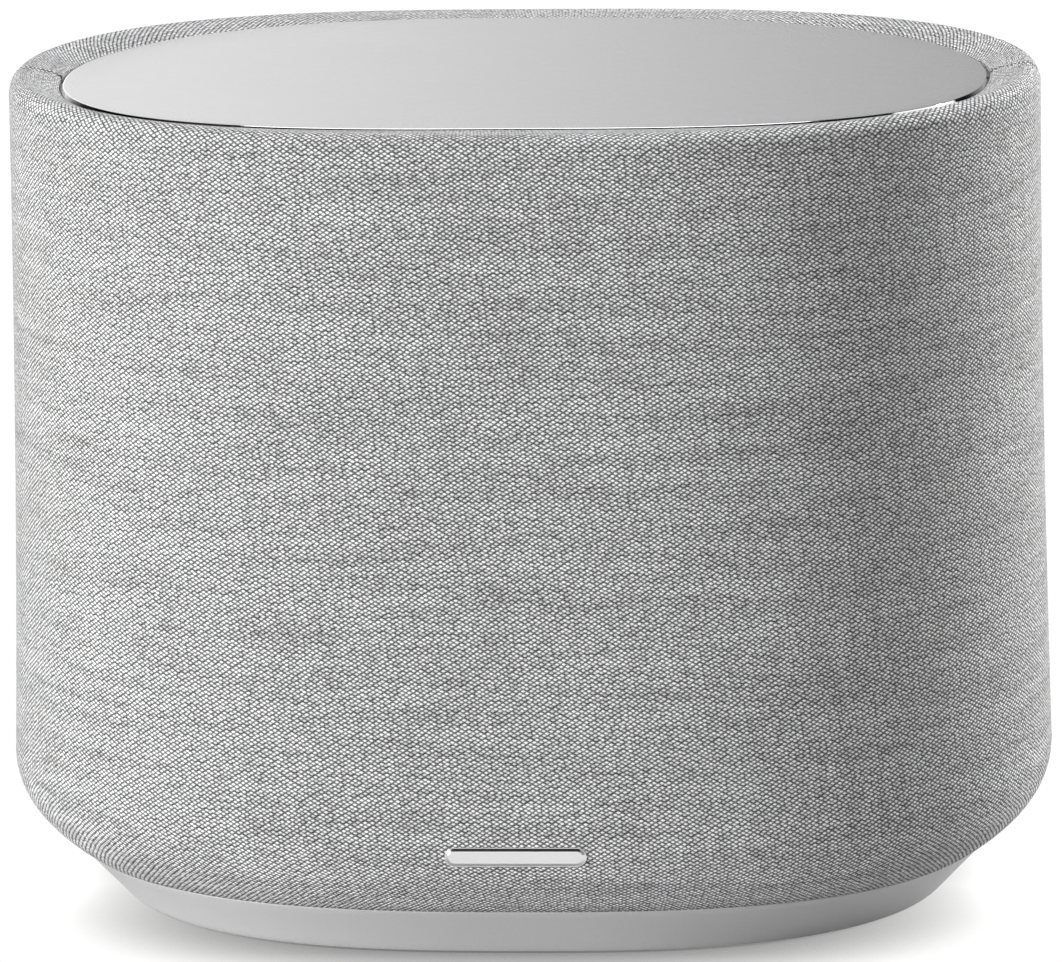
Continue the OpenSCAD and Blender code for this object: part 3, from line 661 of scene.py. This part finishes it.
def add_weave_map(piece, plan, up, edge, rolls):
    """UVs in millimetres: along the rows, and up the profile. The rolled edge repeats its own."""
    u, v = np.tile(plan.along, len(up)), np.repeat(up, len(plan.along))
    u, v = (np.concatenate([w, np.tile(w[edge], rolls)]) for w in (u, v))
    layer = piece.data.uv_layers.new(name="weave")
    loops = np.zeros(len(piece.data.loops), int)
    piece.data.loops.foreach_get("vertex_index", loops)
    uv = np.stack([u[loops], v[loops]], axis=1)
    starts = np.array([p.loop_start for p in piece.data.polygons])
    totals = np.array([p.loop_total for p in piece.data.polygons])
    for start, total in zip(starts, totals):
        here = uv[start : start + total, 0]
        if here.max() - here.min() > ROUND / 2:
            here[here < ROUND / 2] += ROUND
    layer.data.foreach_set("uv", uv.astype(np.float32).ravel())


def add_seam_shade(piece, seam):
    """How deep each point lies in an end seam's fold; the cloth's colour is darkened by it as
    painted shade.
    """
    attribute = piece.data.attributes.new("seam", "FLOAT", "POINT")
    value = np.zeros(len(piece.data.vertices), np.float32)
    value[: seam.size] = seam.ravel()
    attribute.data.foreach_set("value", value)


# ---- top plate ---------------------------------------------------------------------------

def crown_ring(share):
    return (PLATE_W * share, PLATE_D * share, PLATE_Z, -PLATE_CROWN * share**2)


def edge_ring(inset, drop):
    return (PLATE_W - inset, PLATE_D - inset, PLATE_Z - drop, -PLATE_CROWN)


def top_plate():
    """A crowned satin plate with a polished edge: a narrow fall, then a chamfer."""
    top = [crown_ring(share) for share in smooth_steps(0.02, 0.985, 30)]
    polished = [edge_ring(inset, drop) for inset, drop in (
        (1.75, 0.0), (1.5, 0.02), (1.3, 0.06), (1.2, 0.12), (0.1, 1.25), (0.02, 1.37))]
    side = [edge_ring(0, 1.5), edge_ring(0, 2.3), edge_ring(0.5, PLATE_T)]
    under = [(a, b, z - PLATE_T, lift) for a, b, z, lift in reversed(top)]
    plan = Plan.even(360)
    piece = loft("top_plate_crowned", plan, list(reversed(top + polished + side + under)))
    sharpen(piece, 10)
    piece.data.materials.append(materials["plate_aluminium"])
    piece.data.materials.append(edge_polish)
    stations = len(plan.x)
    first = len(under) + len(side)
    for polygon in piece.data.polygons:
        ring = min(polygon.vertices) // stations
        if first <= ring < first + len(polished) - 1:
            polygon.material_index = 1
    return finish_piece(piece, "enclosure", "plate_aluminium", "top_plate")


# ---- plinth ------------------------------------------------------------------------------

FLANGE, FLANGE_TOP = 150, 6            # half width of the flange's hole, and its thickness
FOOT_RING = 8.7                        # width of the groove for the foot, inwards of its outline


def plinth():
    """The satin base: a sloped side with a small round at its foot and its top."""
    plan = Plan.even(360)
    bottom, top = plinth_low.z, plinth_high.z

    def half(z):
        return FOOT + (HEM - FOOT) * z / HEM_Z

    foot = half(bottom) - 0.4
    side = [scaled(half(z), z) for z in smooth_steps(bottom + 1.3, top - 1.2, 8)]
    low_edge = [scaled(foot, bottom), scaled(foot + 0.35, bottom + 0.18),
                scaled(foot + 0.75, bottom + 0.55)]
    high_edge = [scaled(half(top) - 0.75, top - 0.45), scaled(half(top) - 1.0, top - 0.1),
                 scaled(half(top) - 1.4, top)]
    inside = [scaled(half(top) - 8, top), scaled(half(top) - 9, top - 4), scaled(half(11), 11),
              scaled(half(FLANGE_TOP) - 4, FLANGE_TOP), scaled(FLANGE, FLANGE_TOP),
              scaled(FLANGE, bottom + 0.3), scaled(FLANGE + 0.3, bottom)]
    roof = foot_high.z + 0.1
    outline = (foot_high.x, foot_high.y)
    groove = [(*(half_size - FOOT_RING for half_size in outline), z, 0.0) for z in (bottom, roof)]
    groove += [grown((*outline, z, 0.0), 0.15) for z in (roof, bottom)]
    piece = loft("plinth_satin", plan, low_edge + side + high_edge + inside + groove, closed=True)
    sharpen(piece, 28)
    return finish_piece(piece, "enclosure", "plinth_grey", "plinth")


# ---- badge -------------------------------------------------------------------------------

def pill_ring(half_long, radius, y, z, n=24):
    """A pill outline at depth y, centred on x = 0 and height z."""
    points = []
    for side in (1, -1):
        for k in range(n + 1):
            angle = math.radians(-90 + 180 * k / n)
            points.append((side * (half_long - radius + radius * math.cos(angle)),
                           y, z + side * radius * math.sin(angle)))
    return points


def badge():
    """A plain polished pill, set in the cloth: a flat lip, then a bevel up to its face."""
    centre_z = (badge_low.z + badge_high.z) / 2
    radius = (badge_high.z - badge_low.z) / 2
    half_long = badge_high.x
    front = badge_low.y
    lip = [(0.0, 1.9), (0.0, 0.56), (0.06, 0.50), (0.36, 0.48)]
    bevelled = [(0.42, 0.46), (1.4, 0.04), (1.52, 0.0)]
    rings = [pill_ring(half_long - inset, radius - inset, front + depth, centre_z)
             for inset, depth in lip + bevelled]
    count = len(rings[0])
    points = [p for ring in rings for p in ring]
    faces = ring_faces(len(rings), count, closed=False)
    faces.append(tuple(range(count))[::-1])
    faces.append(tuple(range(len(points) - count, len(points))))
    piece = new_mesh("badge_pill", points, faces)
    sharpen(piece, 12)
    return finish_piece(piece, "enclosure", "badge_chrome", "badge")


# ---- the frame's own nodes ---------------------------------------------------------------

def dress_nodes():
    """Every CAD node gets the material of its slot, and the seen ones rounded edges."""
    for part in frame["record"]["subparts"]:
        node = frame["nodes"][part["node"]]
        node.data.materials.clear()
        node.data.materials.append(materials[part["material_slot"]])
    for name, width in (("terminal_tray", 0.5), ("mains_inlet", 0.4), ("service_port", 0.15)):
        bevel(frame["nodes"][name], width)


# ---- stage, lights and camera ------------------------------------------------------------

# (height of a direction, brightness): bright up to 16 degrees, dark from 21 degrees up
WORLD_BY_HEIGHT = ((0.0, 0.96), (0.28, 0.92), (0.37, 0.08), (0.50, 0.03))
WORLD_BY_X = (-0.20, 0.10, 1.44, 0.46)    # from x, to x, brightness at each
# (how far back a direction points, brightness), as cloth is lit by it and as metal mirrors it
WORLD_BY_DEPTH = ((0.30, 0.40), (0.70, 0.16), (0.80, 0.16), (0.96, 1.0))
MIRRORED_BY_DEPTH = ((0.10, 0.80), (0.40, 0.16), (0.80, 0.16), (0.96, 1.0))

FLOOR_HALF = 40000
# the painted shadow round the object on the floor, worked out from closeness and not cast by the
# lamps,
# wider and deeper in front: from y to y in millimetres, and at each how far it reaches in metres
# and how light it stays
PAINTED_SHADOW_REACH = (-128, -30, 0.061, 0.014)
PAINTED_SHADOW_LIGHTNESS = (-125, -25, 0.18, 0.80)
FLOOR_OPEN = (0.14, 0.66)    # how open the floor is to the sky where it is darkest, and white


def ground():
    """A wide pale floor that glows white to the camera, with a painted shadow round the foot; grey
    to bounced light, and a brighter painted grey in reflections.
    """
    corners = [(x * FLOOR_HALF, y * FLOOR_HALF, 0) for x, y in ((-1, -1), (1, -1), (1, 1), (-1, 1))]
    floor = new_mesh("ground", corners, [(0, 1, 2, 3)], smooth=False)
    s = Shader("ground", roughness=0.9, Specular_IOR_Level=0.0)
    place = s.place()
    paper = s.noise(place, 0.02, detail=2)
    # painted reflection: metal mirrors a brighter floor grey than the grey that lends bounced light
    lit = s.mix(paper, grey(0.55, 0.01), grey(0.57, 0.01))
    mirrored = s.mix(paper, grey(0.86, 0.006), grey(0.88, 0.006))
    rays = s.node("ShaderNodeLightPath").outputs
    bounced = s.mix(rays["Is Diffuse Ray"], mirrored, lit)
    # painted shadow: how open the floor is near the object (ambient occlusion) sets its glow to the
    # camera, darker near the foot and wider in front
    depth = s.node("ShaderNodeSeparateXYZ", {0: place}).outputs[1]
    reach = s.ramp(depth, *PAINTED_SHADOW_REACH)
    near = s.node("ShaderNodeAmbientOcclusion", {"Distance": reach}, samples=16)
    shade = s.ramp(near.outputs["AO"], *FLOOR_OPEN, s.ramp(depth, *PAINTED_SHADOW_LIGHTNESS), 1.02)
    # to the camera the floor has no lit colour, only this glow with its painted shadow
    s.shader.inputs["Emission Color"].default_value = grey(1.0, 0.004)
    s.use(Base_Color=s.mix(rays["Is Camera Ray"], bounced, grey(0.0)),
          Emission_Strength=s.math("MULTIPLY", shade, rays["Is Camera Ray"]))
    floor.data.materials.append(s.material)


def studio():
    """Soft room light: bright low behind the object, brighter on the left, and dark overhead."""
    world = bpy.data.worlds.new("studio")
    bpy.context.scene.world = world
    world.use_nodes = True
    n = Nodes(world.node_tree)
    back = n.tree.nodes["Background"]
    direction = n.node("ShaderNodeTexCoord").outputs["Generated"]
    toward = n.node("ShaderNodeSeparateXYZ", {0: direction}).outputs

    def levels(value, stops):
        ramp = n.node("ShaderNodeValToRGB", {0: value})
        elements = ramp.color_ramp.elements
        for place, _ in stops[2:]:
            elements.new(place)
        for element, (place, level) in zip(elements, stops):
            element.position, element.color = place, grey(level)
        return ramp.outputs[0]

    sideways = n.node("ShaderNodeMapRange", {0: toward[0], **dict(enumerate(WORLD_BY_X, 1))},
                      interpolation_type="SMOOTHSTEP").outputs[0]
    mirrored = n.node("ShaderNodeLightPath").outputs["Is Glossy Ray"]
    depth = n.mix(mirrored, levels(toward[1], WORLD_BY_DEPTH),
                  levels(toward[1], MIRRORED_BY_DEPTH))
    n.tree.links.new(levels(toward[2], WORLD_BY_HEIGHT), back.inputs["Color"])
    n.tree.links.new(n.math("MULTIPLY", sideways, depth), back.inputs["Strength"])


def area_light(name, azimuth, elevation, distance, width, height, power):
    """A soft box aimed at the middle of the object; azimuth 0 is the front, 90 the right."""
    light = bpy.data.lights.new(name, "AREA")
    light.shape = "RECTANGLE"
    light.size, light.size_y = width, height
    light.energy = power
    lamp = bpy.data.objects.new(name, light)
    a, e = math.radians(azimuth), math.radians(elevation)
    away = Vector((math.sin(a) * math.cos(e), -math.cos(a) * math.cos(e), math.sin(e)))
    lamp.location = Vector((0, 0, 0.18)) + away * distance
    lamp.rotation_mode = "QUATERNION"
    lamp.rotation_quaternion = away.to_track_quat("Z", "Y")
    bpy.context.scene.collection.objects.link(lamp)


def camera():
    """Long lens from the front, a little above and turned slightly to the right."""
    distance, pitch, turn, roll = 2871.7, 0.241, 0.051, -0.014
    target = Vector((0.48, 0, 170.75))
    ahead = Vector((0, math.cos(pitch), -math.sin(pitch)))
    up = Vector((0, math.sin(pitch), math.cos(pitch)))
    right = Vector((1, 0, 0))
    place = target - distance * ahead
    tilted_right = right * math.cos(roll) + up * math.sin(roll)
    tilted_up = up * math.cos(roll) - right * math.sin(roll)
    axes = Matrix((tilted_right, tilted_up, -ahead)).transposed().to_4x4()
    data = bpy.data.cameras.new("camera")
    data.sensor_fit, data.sensor_width, data.lens = "HORIZONTAL", 36, 228.57
    data.clip_start, data.clip_end = 0.1, 100
    seen = bpy.data.objects.new("camera", data)
    seen.matrix_world = Matrix.Rotation(turn, 4, "Z") @ Matrix.Translation(place * MM) @ axes
    bpy.context.scene.collection.objects.link(seen)
    bpy.context.scene.camera = seen


camera()
ground()
studio()
area_light("key", azimuth=-51, elevation=5, distance=3.0, width=2.6, height=0.8, power=99)
area_light("edge", azimuth=118, elevation=16, distance=2.0, width=0.7, height=1.5, power=40)
area_light("overhead", azimuth=180, elevation=80, distance=2.4, width=1.7, height=1.1, power=46)
area_light("glint", azimuth=121, elevation=41, distance=1.3, width=0.40, height=0.42, power=0.7)
bpy.context.scene.view_settings.view_transform = "Standard"

dress_nodes()
fabric_sleeve()
top_plate()
plinth()
badge()
